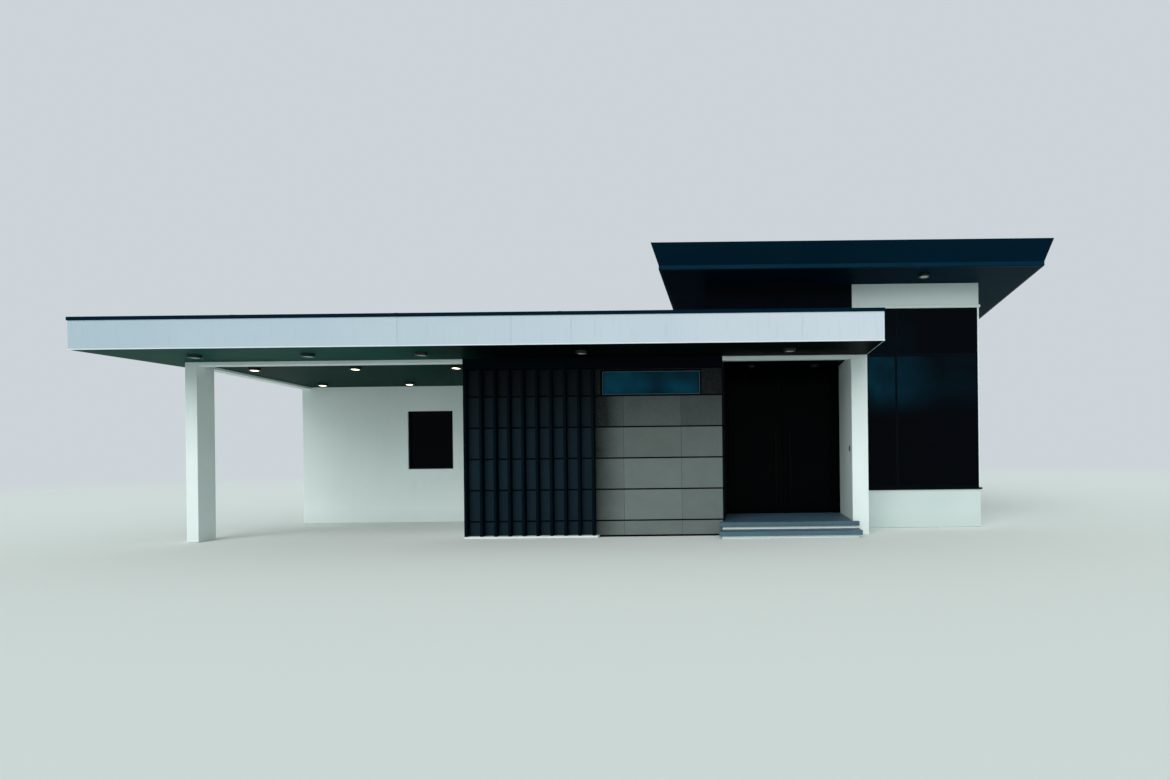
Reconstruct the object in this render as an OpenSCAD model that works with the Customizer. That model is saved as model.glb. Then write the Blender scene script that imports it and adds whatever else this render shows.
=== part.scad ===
// Single-storey modern house: a long flat canopy over a carport and a clad front wall,
// a deep entrance with a double door, and a taller glazed wing under its own raking roof.
// Millimetres, +Z up, -Y faces the street. The origin is under the middle of the plan, at ground level.

/* [Canopy] */
// Height of the canopy's underside above the ground
soffit_level = 3430; // [3200:10:3600]
// Height of the white fascia
fascia_h = 490; // [350:10:600]
// Thickness of the fascia above the slab
fascia_t = 60; // [40:5:90]
// Thickness of the fascia's board in front of the slab's edge
fascia_skin = 12; // [8:1:20]
// Height of the dark metal cap on the fascia
cap_h = 60; // [30:5:90]
// How far the metal cap stands proud of the fascia
cap_proud = 20; // [10:5:40]
// Thickness of the canopy's slab
canopy_slab_t = 120; // [90:10:160]
// Thickness of the metal roof decks
deck_t = 40; // [25:5:60]
// Height of the low roof's deck over the slab, at the street
deck_up = 220; // [180:10:300]
// Fall of the low roof's deck towards the rear, in degrees
deck_fall = 0.7; // [0:0.1:0.8]
// Overhang of the canopy behind the house
rear_eave = 450; // [200:10:600]

/* [Beam line] */
// Distance from the fascia's face back to the pier, the beams and the fins
beam_line = 1610; // [1200:10:1900]
// How far the beams hang below the canopy
beam_drop = 70; // [60:5:160]
// Width of the beams
beam_w = 220; // [180:10:300]

/* [Carport] */
// Distance from the canopy's end to the outer face of the pier
pier_inset = 620; // [300:10:900]
// Width of the pier, seen from the street
pier_w = 220; // [200:10:300]
// Depth of the pier
pier_d = 430; // [300:10:600]
// Depth of the carport from the beam line to its rear wall
carport_d = 3420; // [3000:10:3900]
// Fall of the carport's ceiling from the beam line to its rear wall
ceiling_fall = 135; // [0:10:200]
// Thickness of the carport's ceiling boards
ceiling_t = 20; // [12:1:30]
// Gap above the ceiling at its high end
ceiling_gap = 5; // [5:1:20]

/* [Front wall] */
// Distance from the canopy's end to the clad front wall
front_wall_x = 5900; // [5500:10:6300]
// Width of the clad front wall
front_wall_w = 4947; // [4500:1:5100]
// Height of the dark header over the cladding
header_h = 190; // [120:10:240]
// How far the fins stand in front of the cladding
fin_d = 150; // [100:10:200]
// Width of each fin
fin_w = 50; // [40:2:70]
// Spacing of the fins
fin_pitch = 267; // [240:1:280]
// Distance from the wall's left end to the first fin
fin_start = 300; // [100:10:400]
// Number of fins
fin_count = 9; // [5:1:10]
// Height of the white kerb under the fins
kerb_h = 40; // [20:5:80]
// How far the kerb stands in front of the fins
kerb_out = 15; // [0:5:30]
// How far the kerb runs past the last fin
kerb_end = 60; // [0:5:120]

/* [Entrance] */
// Clear width between the front wall and the entrance's side wall
entrance_w = 2453; // [2200:1:2700]
// Depth of the entrance from the beam line to the door wall
entrance_d = 1720; // [1400:10:1900]
// Height of the porch and of the floor inside
floor_h = 270; // [200:10:320]
// Thickness of each step's slab
step_t = 80; // [50:5:100]
// Going of each step
step_going = 420; // [300:10:500]
// How far the porch slab stands in front of the beam line
porch_nose = 90; // [40:10:140]
// How far each step's slab overhangs its white base
step_nose = 50; // [20:5:80]
// How far the steps reach past the entrance on the left
step_left = 77; // [0:1:150]
// How far the steps reach past the entrance on the right
step_right = 110; // [0:1:200]

/* [Double door] */
// Width of the door frame's jambs
jamb_w = 170; // [60:5:220]
// Height of the door frame's head, under the ceiling
head_h = 170; // [60:5:300]
// Depth of the door frame
frame_d = 110; // [90:5:140]
// Thickness of the door leaves
leaf_t = 50; // [40:1:60]
// Clearance round and between the leaves
leaf_gap = 8; // [6:1:12]
// How far the leaves are set behind the frame's face
leaf_set = 10; // [0:1:30]
// Length of the pull bars
pull_l = 1540; // [600:10:1800]
// Width of the pull bars
pull_w = 35; // [25:1:45]
// Distance from the leaf to the back of its pull bar
pull_stand = 45; // [35:1:60]
// Distance from the meeting edges to the pull bars
pull_inset = 130; // [70:5:160]
// Height of the pull bars' lower ends over the floor
pull_up = 230; // [200:10:600]
// Distance from the ends of a pull bar to its posts
pull_post = 180; // [60:10:240]
// Width of the bell push
bell_w = 40; // [30:1:80]
// Height of the bell push
bell_h = 110; // [60:1:160]
// Thickness of the bell push
bell_t = 15; // [8:1:30]
// Height of the bell push above the ground
bell_level = 1590; // [1400:10:1700]
// Distance from the beam line to the bell push
bell_back = 250; // [100:10:500]

/* [Wing] */
// Width of the glazed wall, from the entrance's side wall to the corner
wing_w = 2529; // [2200:1:2800]
// Distance from the beam line back to the glazed wall
wing_set = 1147; // [900:1:1300]
// Height of the white plinth under the glass
plinth_h = 810; // [600:10:1000]
// Level of the head of the glass
glass_head = 4540; // [4400:10:4600]
// Level of the wing's front wall under the roof
wing_top = 5050; // [4950:10:5200]
// Width of the members of the tall glazing
glazing_w = 32; // [25:1:60]
// Level of the glazing's transom
transom_level = 3553; // [3300:1:3800]
// Distance from the entrance's side wall to the mullion
mullion_x = 795; // [600:1:1400]
// How far the tall part of the house reaches left of the wing's glazing
tall_reach = 3140; // [2900:10:3200]
// How far the white band reaches left of the canopy's end
band_reach = 95; // [0:5:200]
// How far the sill and the drip moulding stand out
sill_out = 25; // [10:5:50]
// Thickness of the sill on the plinth
sill_t = 30; // [20:5:60]
// Height of the drip moulding along the foot of the band
drip_h = 60; // [30:5:100]
// How far the glazing's frame is set behind the wall's face
glazing_set = 10; // [0:5:40]
// Distance from the face of the glazing's frame to the glass
glass_back = 15; // [10:1:60]

/* [Upper roof] */
// Overhang of the upper roof beyond its front, right and rear walls
roof_over = 950; // [700:10:1000]
// Overhang of the upper roof beyond its left wall
roof_over_left = 830; // [700:10:1000]
// Fall of the upper roof towards the rear, in degrees
roof_fall = 5; // [2:0.5:5.5]
// Height of the upright lip at the bottom of the roof's edge
lip_h = 75; // [40:5:110]
// Height of the raking board above the lip
rake_h = 410; // [250:10:500]
// How far the raking board leans out
rake_out = 138; // [60:2:200]
// Thickness of the roof's edge boards
edge_t = 60; // [40:5:90]
// Thickness of the upper roof's soffit
soffit_t = 40; // [25:5:60]
// Height of the upper roof's deck over its soffit
roof_deck_up = 330; // [280:10:360]

/* [House body] */
// Distance from the fascia's face to the rear of the house
house_d = 11170; // [10600:10:11800]
// Thickness of the walls
wall_t = 150; // [120:10:200]
// Width of the entrance's side wall
side_wall_t = 305; // [250:5:400]
// Clearance where a piece meets the underside or the edge of a sloping one
slope_fit = 0.2; // [0.1:0.1:1]

/* [Windows] */
// Width of the window frames' members
sash_w = 45; // [30:5:70]
// Depth of the window frames
sash_d = 80; // [60:5:110]
// Thickness of the glass
glass_t = 12; // [8:1:20]
// How far the frames are set in from the wall's face
sash_set = 35; // [20:5:35]
// Width of the strip window over the cladding
strip_w = 1935; // [1500:5:2000]
// Height of the strip window
strip_h = 498; // [350:2:520]
// Distance from the strip window to the wall's right end
strip_edge = 417; // [300:1:700]
// Distance from the header to the head of the strip window
strip_head = 32; // [10:1:100]
// Width of the members of the strip window's frame
strip_sash = 30; // [20:1:50]
// Width of the carport's window
carport_window_w = 1080; // [800:10:1400]
// Height of the carport's window
carport_window_h = 1395; // [1000:5:1500]
// Level of the carport window's sill
carport_window_sill = 1278; // [1000:1:1500]
// Distance from the carport's window to the front wall
carport_window_edge = 1665; // [1200:5:2200]
// Width of the windows in the rear and side walls
plain_window_w = 1500; // [1000:10:1800]

/* [Lights] */
// Diameter of the ceiling lights
lamp_d = 170; // [160:5:220]
// Height of the ceiling lights
lamp_h = 45; // [30:1:60]
// Diameter of the seat of their lenses
lens_d = 110; // [80:5:130]
// How deep the lens sits in the light
lens_deep = 12; // [5:1:20]
// Chamfer round a light's lower rim
lamp_rim = 8; // [2:1:12]
// Distance from the pier's outer face to the first row of lights
lamp_first = 880; // [500:10:1200]
// Distance from the last row of lights to the front wall
lamp_last = 380; // [200:10:900]
// Distance from the fascia's face to the front lights
lamp_front = 760; // [500:10:1000]
// Distance of the carport's lights from the beam line and from its rear wall
lamp_carport = 615; // [400:10:900]
// Half the spacing of the two lights in the porch
porch_lamp_x = 668; // [400:1:900]
// Distance from the door wall to the porch's lights
porch_lamp_y = 283; // [200:1:800]
// Distance from the glazed wall to the light under the upper roof
wing_lamp_y = 532; // [300:1:700]

/* [Hidden] */
$fn = 48;

// Levels
fascia_top = soffit_level + fascia_h;
slab_top = soffit_level + canopy_slab_t;
header_level = soffit_level - header_h;
step_level = floor_h / 2;

// Plan positions from the canopy's left end and the fascia's face
front_wall_end = front_wall_x + front_wall_w;
side_wall_x = front_wall_end + entrance_w;
glass_x = side_wall_x + side_wall_t;
canopy_w = glass_x;
canopy_d = house_d + rear_eave;
wing_end = glass_x + wing_w;
wing_y = beam_line + wing_set;
door_y = beam_line + entrance_d;
carport_y = beam_line + carport_d;
tall_x = glass_x - tall_reach;
clad_y = beam_line + fin_d;
hall_y = door_y + frame_d;
carport_x = pier_inset + pier_w;

// Inner faces of the outer walls
left_inner = pier_inset + wall_t;
wing_inner = wing_end - wall_t;
rear_inner = house_d - wall_t;
entrance_inner = front_wall_end - wall_t;
carport_inner = carport_y + wall_t;

// The upper roof's lip and the whole plan
lip_x0 = tall_x - roof_over_left;
lip_x1 = wing_end + roof_over;
lip_y0 = wing_y - roof_over;
lip_y1 = house_d + roof_over;
mid_x = (lip_x1 + rake_out - cap_proud) / 2;
mid_y = (lip_y1 + rake_out - cap_proud) / 2;
roof_grade = tan(roof_fall);

// Height of the upper soffit at a distance from the fascia's face
function soffit_at(y) = wing_top - roof_grade * (y - wing_y);

// Height of the carport's ceiling boards at a distance from the fascia's face
function ceiling_at(y) = soffit_level - ceiling_gap - ceiling_t
    - ceiling_fall * (y - beam_line) / carport_d;

// Steps: their ends, the front of the porch's base and the edge of the porch slab
step_x0 = front_wall_end - step_left;
step_x1 = side_wall_x + step_right;
porch_edge = beam_line - porch_nose;
base_y = porch_edge + step_nose;

// Fins
first_fin = front_wall_x + fin_start;
last_fin = first_fin + (fin_count - 1) * fin_pitch;

// Double door
leaf_y = door_y + leaf_set;
door_head = soffit_level - head_h;
leaf_w = (entrance_w - 2 * jamb_w - 3 * leaf_gap) / 2;
left_leaf_x = front_wall_end + jamb_w + leaf_gap;
right_leaf_x = left_leaf_x + leaf_w + leaf_gap;

// Low roof's deck
function deck_at(y) = slab_top + deck_up - tan(deck_fall) * (y - fascia_t);

// Upper roof's edge: its height, and the inner face of its raking board at a height
edge_h = lip_h + rake_h;
function edge_inside(z) = -edge_t + rake_out * (z - lip_h) / rake_h;

// Windows: [place along the wall, sill, width, height, width of the frame's members]
carport_window = [front_wall_x - carport_window_edge - carport_window_w, carport_window_sill,
    carport_window_w, carport_window_h, sash_w];
strip_window = [front_wall_end - strip_edge - strip_w, header_level - strip_head - strip_h,
    strip_w, strip_h, strip_sash];
wing_window = [glass_x, plinth_h, wing_w, glass_head - plinth_h, glazing_w];
function window_row(from, to, count) = [for (i = [0.5 : count])
    [from + (to - from) * i / count - plain_window_w / 2, carport_window_sill,
        plain_window_w, carport_window_h, sash_w]];
left_windows = window_row(carport_inner, rear_inner, 2);
rear_windows = window_row(left_inner, tall_x, 3);
tall_windows = window_row(tall_x, wing_inner, 2);
right_windows = window_row(wing_y + wall_t, rear_inner, 3);

// Lights: places in plan
door_x = front_wall_end + entrance_w / 2;
lamp_pitch = (front_wall_x - lamp_last - pier_inset - lamp_first) / 2;
lamp_rows = [for (i = [0 : 2]) pier_inset + lamp_first + i * lamp_pitch];
front_lamps = [for (x = concat(lamp_rows, [front_wall_x + front_wall_w / 2, door_x])) [x, lamp_front]];
carport_lamps = concat(
    [for (x = lamp_rows) [x, beam_line + lamp_carport]],
    [for (i = [0 : 1]) [lamp_rows[i], carport_y - lamp_carport]]
);
porch_lamps = [for (side = [-1, 1]) [door_x + side * porch_lamp_x, door_y - porch_lamp_y]];
wing_lamp = [glass_x + wing_w / 2, wing_y - wing_lamp_y];

// How far a cutting body runs past what it cuts
cut = 1;

// The plan is drawn from the canopy's corner and set on the middle of the house
module place() {
    translate([-mid_x, -mid_y, 0]) children();
}

// A block between two corners
module block(a, b) {
    translate(a) cube(b - a);
}

// A plate in the plane across the house, given by points of depth and height
module across(x, t, points) {
    translate([x, 0, 0]) rotate([90, 0, 90]) linear_extrude(t) polygon(points);
}

// A window's outline in the plane of its wall, drawn in by a margin
module window_block(w, y, d, margin) {
    block([w[0] + margin, y, w[1] + margin], [w[0] + w[2] - margin, y + d, w[1] + w[3] - margin]);
}

// A window's frame and its glass in a wall that faces the street or the rear
module window_frame(w, y, d) {
    difference() {
        window_block(w, y, d, 0);
        window_block(w, y - cut, d + 2 * cut, w[4]);
    }
}
module window_pane(w, y) {
    window_block(w, y + sash_d / 2, glass_t, w[4]);
}

// Turns a wall piece that faces the street so that it faces a side of the house
module turned() {
    multmatrix([[0, 1, 0, 0], [1, 0, 0, 0], [0, 0, 1, 0]]) children();
}

// Four-sided ring of points under the upper roof's fall, [out, height] from the foot of its lip
function roof_ring(level) = [for (corner = [[-1, -1], [1, -1], [1, 1], [-1, 1]])
    let (
        x = corner[0] < 0 ? lip_x0 - level[0] : lip_x1 + level[0],
        y = corner[1] < 0 ? lip_y0 - level[0] : lip_y1 + level[0]
    )
    [x, y, soffit_at(y) + level[1]]];

// Body between such rings, from the lowest to the highest
module roof_body(levels) {
    top = 4 * len(levels) - 4;
    sides = [for (k = [0 : len(levels) - 2], i = [0 : 3])
        let (a = 4 * k + i, b = 4 * k + (i + 1) % 4)
        [a + 4, b + 4, b, a]];
    polyhedron([for (level = levels) each roof_ring(level)],
        concat([[0, 1, 2, 3], [top + 3, top + 2, top + 1, top]], sides));
}

// A wall from a level up to the upper soffit
module wall_to_roof(x, w, y0, y1, z) {
    across(x, w, [[y0, z], [y1, z], [y1, soffit_at(y1) - slope_fit], [y0, soffit_at(y0) - slope_fit]]);
}

// A round light under a ceiling that falls towards the rear, with a seat for its lens
module lamp(place, level, fall) {
    r = lamp_d / 2;
    lens = lens_d / 2;
    translate([place[0], place[1], level]) rotate([-fall, 0, 0]) rotate_extrude() polygon([
        [0, 0], [r, 0], [r, lamp_rim - lamp_h], [r - lamp_rim, -lamp_h],
        [lens, -lamp_h], [lens, lens_deep - lamp_h], [0, lens_deep - lamp_h]
    ]);
}

// Floor slabs on the ground, inside the walls: rear rooms, the room behind the fins, the hall
module rear_floor() color("darkgray") place()
    block([left_inner, carport_inner, 0], [wing_inner, rear_inner, floor_h]);
module bedroom_floor() color("darkgray") place()
    block([front_wall_x + wall_t, clad_y + wall_t, 0], [entrance_inner, carport_inner, floor_h]);
module hall_floor() color("darkgray") place() {
    block([entrance_inner, hall_y, 0], [wing_inner, carport_inner, floor_h]);
    block([glass_x, wing_y + wall_t, 0], [wing_inner, hall_y, floor_h]);
}

// Porch slab: it fills the entrance, and its nosing runs past the walls on both sides
module porch_slab() color("slategray") place() {
    z = floor_h - step_t;
    block([front_wall_end, beam_line, z], [side_wall_x, door_y, floor_h]);
    block([step_x0, porch_edge, z], [step_x1, beam_line, floor_h]);
    block([step_x0, beam_line, z], [front_wall_end, clad_y, floor_h]);
}

// Lower step's slab, at half the porch's height
module entry_step() color("slategray") place()
    block([step_x0, base_y - step_going, step_level - step_t], [step_x1, base_y, step_level]);

// White bases under the porch slab and the lower step, set back behind their nosings
module step_bases() color("white") place() {
    block([front_wall_end, beam_line, 0], [side_wall_x, door_y, floor_h - step_t]);
    block([step_x0 + step_nose, base_y, 0], [step_x1 - step_nose, beam_line, floor_h - step_t]);
    block([step_x0 + step_nose, base_y - step_going + step_nose, 0],
        [step_x1 - step_nose, base_y, step_level - step_t]);
}

// Low white kerb that the fins stand on
module front_kerb() color("white") place()
    block([front_wall_x, beam_line - kerb_out, 0], [last_fin + fin_w + kerb_end, clad_y, kerb_h]);

// Pier at the street end of the carport
module carport_pier() color("white") place()
    block([pier_inset, beam_line, 0], [carport_x, beam_line + pier_d, soffit_level]);

// Beams from the pier to the front wall, and back to the carport's rear wall with the ceiling's fall
module carport_beams() color("white") place() {
    block([carport_x, beam_line, soffit_level - beam_drop],
        [front_wall_x, beam_line + beam_w, soffit_level]);
    y = beam_line + pier_d;
    drop = beam_drop - ceiling_gap - ceiling_t;
    across(pier_inset, pier_w, [
        [y, ceiling_at(y) - drop], [carport_y, ceiling_at(carport_y) - drop],
        [carport_y, soffit_level], [y, soffit_level]
    ]);
}

// Beam over the mouth of the entrance
module entrance_beam() color("white") place()
    block([front_wall_end, beam_line, soffit_level - beam_drop],
        [side_wall_x, beam_line + beam_w, soffit_level]);

// Ceiling boards of the carport, between the beams and the walls
module carport_ceiling() color("dimgray") place() {
    y = beam_line + beam_w;
    across(carport_x, front_wall_x - carport_x, [
        [y, ceiling_at(y)], [carport_y, ceiling_at(carport_y)],
        [carport_y, ceiling_at(carport_y) + ceiling_t], [y, ceiling_at(y) + ceiling_t]
    ]);
}

// Wall at the back of the carport, with its window
module carport_rear_wall() color("white") place() difference() {
    block([pier_inset, carport_y, 0], [front_wall_x + wall_t, carport_inner, soffit_level]);
    window_block(carport_window, carport_y - cut, wall_t + 2 * cut, 0);
}

// Wall between the carport and the room behind the fins
module carport_inner_wall() color("white") place()
    block([front_wall_x, clad_y + wall_t, 0], [front_wall_x + wall_t, carport_y, soffit_level]);

// Clad front wall with its strip window
module front_wall() color("gray") place() difference() {
    block([front_wall_x, clad_y, 0], [front_wall_end, clad_y + wall_t, soffit_level]);
    window_block(strip_window, clad_y - cut, wall_t + 2 * cut, 0);
}

// Dark header over the cladding, which carries the heads of the fins
module front_header() color("black") place()
    block([front_wall_x, beam_line, header_level], [front_wall_end, clad_y, soffit_level]);

// Screen of upright fins, with an end post at the carport
module fins() color("black") place()
    for (x = [front_wall_x, each [for (i = [0 : fin_count - 1]) first_fin + i * fin_pitch]])
        block([x, beam_line, kerb_h], [x + fin_w, clad_y, header_level]);

// Wall on the left of the entrance
module entrance_left_wall() color("dimgray") place()
    block([entrance_inner, clad_y + wall_t, 0], [front_wall_end, hall_y, soffit_level]);

// Thick white wall on the right of the entrance
module entrance_side_wall() color("white") place()
    block([side_wall_x, beam_line, 0], [glass_x, hall_y, soffit_level]);

// Wide jambs and head of the double door, up to the ceiling
module door_frame() color("black") place() difference() {
    block([front_wall_end, door_y, floor_h], [side_wall_x, hall_y, soffit_level]);
    block([front_wall_end + jamb_w, door_y - cut, floor_h - cut],
        [side_wall_x - jamb_w, hall_y + cut, door_head]);
}

// Sill under the double door
module door_threshold() color("dimgray") place()
    block([front_wall_end, door_y, 0], [side_wall_x, hall_y, floor_h]);

// Leaves of the double door, by their left edges
module leaf(x) {
    block([x, leaf_y, floor_h + leaf_gap], [x + leaf_w, leaf_y + leaf_t, door_head - leaf_gap]);
}
module left_door_leaf() color("black") place() leaf(left_leaf_x);
module right_door_leaf() color("black") place() leaf(right_leaf_x);

// Upright pull bars, each on two posts, by their left edges
module pull(x) {
    bottom = floor_h + pull_up;
    y = leaf_y - pull_stand;
    block([x, y - pull_w, bottom], [x + pull_w, y, bottom + pull_l]);
    for (z = [bottom + pull_post, bottom + pull_l - pull_post - pull_w])
        block([x, y, z], [x + pull_w, leaf_y, z + pull_w]);
}
module left_door_pull() color("dimgray") place() pull(left_leaf_x + leaf_w - pull_inset - pull_w);
module right_door_pull() color("dimgray") place() pull(right_leaf_x + pull_inset);

// Bell push on the entrance's side wall
module door_bell() color("black") place()
    translate([side_wall_x - bell_t, beam_line + bell_back, bell_level]) cube([bell_t, bell_w, bell_h]);

// Left wall of the house
module left_wall() color("white") place() difference() {
    block([pier_inset, carport_inner, 0], [left_inner, rear_inner, soffit_level]);
    for (w = left_windows) turned() window_block(w, pier_inset - cut, wall_t + 2 * cut, 0);
}

// Rear wall under the low roof
module rear_wall() color("white") place() difference() {
    block([pier_inset, rear_inner, 0], [tall_x, house_d, soffit_level]);
    for (w = rear_windows) window_block(w, rear_inner - cut, wall_t + 2 * cut, 0);
}

// Rear wall of the tall part, cut to the roof's fall
module rear_wall_tall() color("white") place() difference() {
    wall_to_roof(tall_x, wing_end - tall_x, rear_inner, house_d, 0);
    for (w = tall_windows) window_block(w, rear_inner - cut, wall_t + 2 * cut, 0);
}

// Right wall of the tall part
module right_wall() color("white") place() difference() {
    wall_to_roof(wing_inner, wall_t, wing_y + wall_t, rear_inner, 0);
    for (w = right_windows) turned() window_block(w, wing_inner - cut, wall_t + 2 * cut, 0);
}

// White plinth under the glazing, with its sill
module wing_plinth() color("white") place() {
    block([glass_x, wing_y, 0], [wing_end, wing_y + wall_t, plinth_h]);
    block([glass_x, wing_y - sill_out, plinth_h - sill_t], [wing_end + sill_out, wing_y + wall_t, plinth_h]);
}

// White band over the glazing, with a drip moulding along its foot
module wing_band() color("white") place() {
    x = glass_x - band_reach;
    wall_to_roof(x, wing_end - x, wing_y, wing_y + wall_t, glass_head);
    block([canopy_w + cap_proud, wing_y - sill_out, glass_head],
        [wing_end + sill_out, wing_y, glass_head + drip_h]);
}

// Frame of the tall glazing: a mullion and a transom inside an outer frame
module wing_glazing_frame() color("black") place() {
    y = wing_y + glazing_set;
    d = wall_t - glazing_set;
    window_frame(wing_window, y, d);
    block([glass_x + mullion_x, y, plinth_h + glazing_w],
        [glass_x + mullion_x + glazing_w, y + d, glass_head - glazing_w]);
    block([glass_x + glazing_w, y, transom_level],
        [wing_end - glazing_w, y + d, transom_level + glazing_w]);
}

// Four sheets of dark glass in the tall glazing
module wing_glass() color("darkslategray") place() {
    y = wing_y + glazing_set + glass_back;
    columns = [[glass_x + glazing_w, glass_x + mullion_x],
        [glass_x + mullion_x + glazing_w, wing_end - glazing_w]];
    rows = [[plinth_h + glazing_w, transom_level], [transom_level + glazing_w, glass_head - glazing_w]];
    for (c = columns, r = rows) block([c[0], y, r[0]], [c[1], y + glass_t, r[1]]);
}

// Dark wall over the canopy, up to the upper roof, with a lower end beside the glazing
module tall_front_wall() color("black") place() {
    x = glass_x - band_reach;
    wall_to_roof(tall_x, x - tall_x, wing_y, wing_y + wall_t, slab_top);
    block([x, wing_y, slab_top], [glass_x, wing_y + wall_t, glass_head]);
}

// Left wall of the tall part, standing on the canopy's slab
module tall_left_wall() color("white") place()
    wall_to_roof(tall_x, wall_t, wing_y + wall_t, rear_inner, slab_top);

// White fascias: along the street, down both sides, and along the rear with a return. Each covers the
// slab's edge with a thin board and stands on the slab above it.
module front_fascia() color("whitesmoke") place()
    for (part = [[fascia_skin, soffit_level, slab_top], [fascia_t, slab_top, fascia_top]])
        block([0, 0, part[1]], [canopy_w, part[0], part[2]]);
module side_fascias() color("whitesmoke") place()
    for (part = [[fascia_skin, soffit_level, slab_top], [fascia_t, slab_top, fascia_top]]) {
        t = part[0];
        block([0, t, part[1]], [t, canopy_d, part[2]]);
        block([canopy_w - t, t, part[1]], [canopy_w, wing_y, part[2]]);
    }
module rear_fascia() color("whitesmoke") place()
    for (part = [[fascia_skin, soffit_level, slab_top], [fascia_t, slab_top, fascia_top]]) {
        t = part[0];
        block([t, canopy_d - t, part[1]], [tall_x, canopy_d, part[2]]);
        block([tall_x - t, house_d, part[1]], [tall_x, canopy_d - t, part[2]]);
    }

// Dark metal cap that runs round the top of the fascias
module fascia_cap() color("darkslategray") place() translate([0, 0, fascia_top]) linear_extrude(cap_h) {
    w = fascia_t + 2 * cap_proud;
    translate([-cap_proud, -cap_proud]) square([canopy_w + 2 * cap_proud, w]);
    translate([-cap_proud, -cap_proud]) square([w, canopy_d + 2 * cap_proud]);
    translate([canopy_w + cap_proud - w, -cap_proud]) square([w, wing_y + cap_proud]);
    translate([-cap_proud, canopy_d + cap_proud - w]) square([tall_x + 2 * cap_proud, w]);
    translate([tall_x + cap_proud - w, house_d]) square([w, rear_eave]);
}

// Canopy slab over the front of the house
module canopy_slab_front() color("dimgray") place() translate([0, 0, soffit_level])
    linear_extrude(canopy_slab_t) polygon([
        [fascia_skin, fascia_skin], [canopy_w - fascia_skin, fascia_skin], [canopy_w - fascia_skin, wing_y],
        [glass_x, wing_y], [glass_x, hall_y], [fascia_skin, hall_y]
    ]);

// Canopy slab over the rooms beside the tall part
module canopy_slab_rear() color("dimgray") place() translate([0, 0, soffit_level])
    linear_extrude(canopy_slab_t) polygon([
        [fascia_skin, hall_y], [tall_x + wall_t, hall_y], [tall_x + wall_t, rear_inner], [tall_x, rear_inner],
        [tall_x, house_d], [tall_x - fascia_skin, house_d], [tall_x - fascia_skin, canopy_d - fascia_skin],
        [fascia_skin, canopy_d - fascia_skin]
    ]);

// Metal deck of the low roof, falling to the rear inside the fascias and round the tall part
module low_roof_deck() color("gray") place() intersection() {
    y = canopy_d - fascia_t;
    across(fascia_t, canopy_w - 2 * fascia_t, [
        [fascia_t, deck_at(fascia_t)], [y, deck_at(y)],
        [y, deck_at(y) + deck_t], [fascia_t, deck_at(fascia_t) + deck_t]
    ]);
    linear_extrude(fascia_top) polygon([
        [fascia_t, fascia_t], [canopy_w - fascia_t, fascia_t], [canopy_w - fascia_t, wing_y],
        [tall_x, wing_y], [tall_x, house_d], [tall_x - fascia_t, house_d], [tall_x - fascia_t, y],
        [fascia_t, y]
    ]);
}

// Soffit of the upper roof
module upper_soffit() color("darkslategray") place() roof_body([[-edge_t, 0], [-edge_t, soffit_t]]);

// Upright lip and raking boards round the upper roof, open inside
module upper_roof_edge() color("darkslategray") place() difference() {
    roof_body([[0, 0], [0, lip_h], [rake_out, edge_h]]);
    roof_body([[-edge_t, -cut], [-edge_t, lip_h],
        [rake_out - edge_t, edge_h], [rake_out - edge_t, edge_h + cut]]);
}

// Metal deck of the upper roof, between the raking boards
module upper_roof_deck() color("gray") place()
    roof_body([for (z = [roof_deck_up, roof_deck_up + deck_t]) [edge_inside(z) - slope_fit, z]]);

// Frames of the windows set in walls
module window_frames() color("black") place() {
    window_frame(carport_window, carport_y + sash_set, sash_d);
    window_frame(strip_window, clad_y + sash_set, sash_d);
    for (w = [each rear_windows, each tall_windows]) window_frame(w, house_d - sash_set - sash_d, sash_d);
    turned() {
        for (w = left_windows) window_frame(w, pier_inset + sash_set, sash_d);
        for (w = right_windows) window_frame(w, wing_end - sash_set - sash_d, sash_d);
    }
}

// Glass of the windows set in walls
module window_glass() color("darkslategray") place() {
    window_pane(carport_window, carport_y + sash_set);
    window_pane(strip_window, clad_y + sash_set);
    for (w = [each rear_windows, each tall_windows]) window_pane(w, house_d - sash_set - sash_d);
    turned() {
        for (w = left_windows) window_pane(w, pier_inset + sash_set);
        for (w = right_windows) window_pane(w, wing_end - sash_set - sash_d);
    }
}

// Round lights under the canopy, in the carport and the porch, and under the upper roof
module ceiling_lights() color("silver") place() {
    for (p = [each front_lamps, each porch_lamps]) lamp(p, soffit_level, 0);
    for (p = carport_lamps) lamp(p, ceiling_at(p[1]) - slope_fit, atan(ceiling_fall / carport_d));
    lamp(wing_lamp, soffit_at(wing_lamp[1]) - slope_fit, roof_fall);
}

rear_floor();
bedroom_floor();
hall_floor();
porch_slab();
entry_step();
step_bases();
front_kerb();
carport_pier();
carport_beams();
entrance_beam();
carport_ceiling();
carport_rear_wall();
carport_inner_wall();
front_wall();
front_header();
fins();
entrance_left_wall();
entrance_side_wall();
door_frame();
door_threshold();
left_door_leaf();
right_door_leaf();
left_door_pull();
right_door_pull();
door_bell();
left_wall();
rear_wall();
rear_wall_tall();
right_wall();
wing_plinth();
wing_band();
wing_glazing_frame();
wing_glass();
tall_front_wall();
tall_left_wall();
front_fascia();
side_fascias();
rear_fascia();
fascia_cap();
canopy_slab_front();
canopy_slab_rear();
low_roof_deck();
upper_soffit();
upper_roof_edge();
upper_roof_deck();
window_frames();
window_glass();
ceiling_lights();
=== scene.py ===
# Modern bungalow: a long flat canopy over a carport and a clad front wall, a deep entrance,
# and a tall glazed wing under its own raking roof. Metres, +Z up, the front faces -Y.
import math
import random

import bmesh
import bpy
from mathutils import Matrix, Vector


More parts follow.
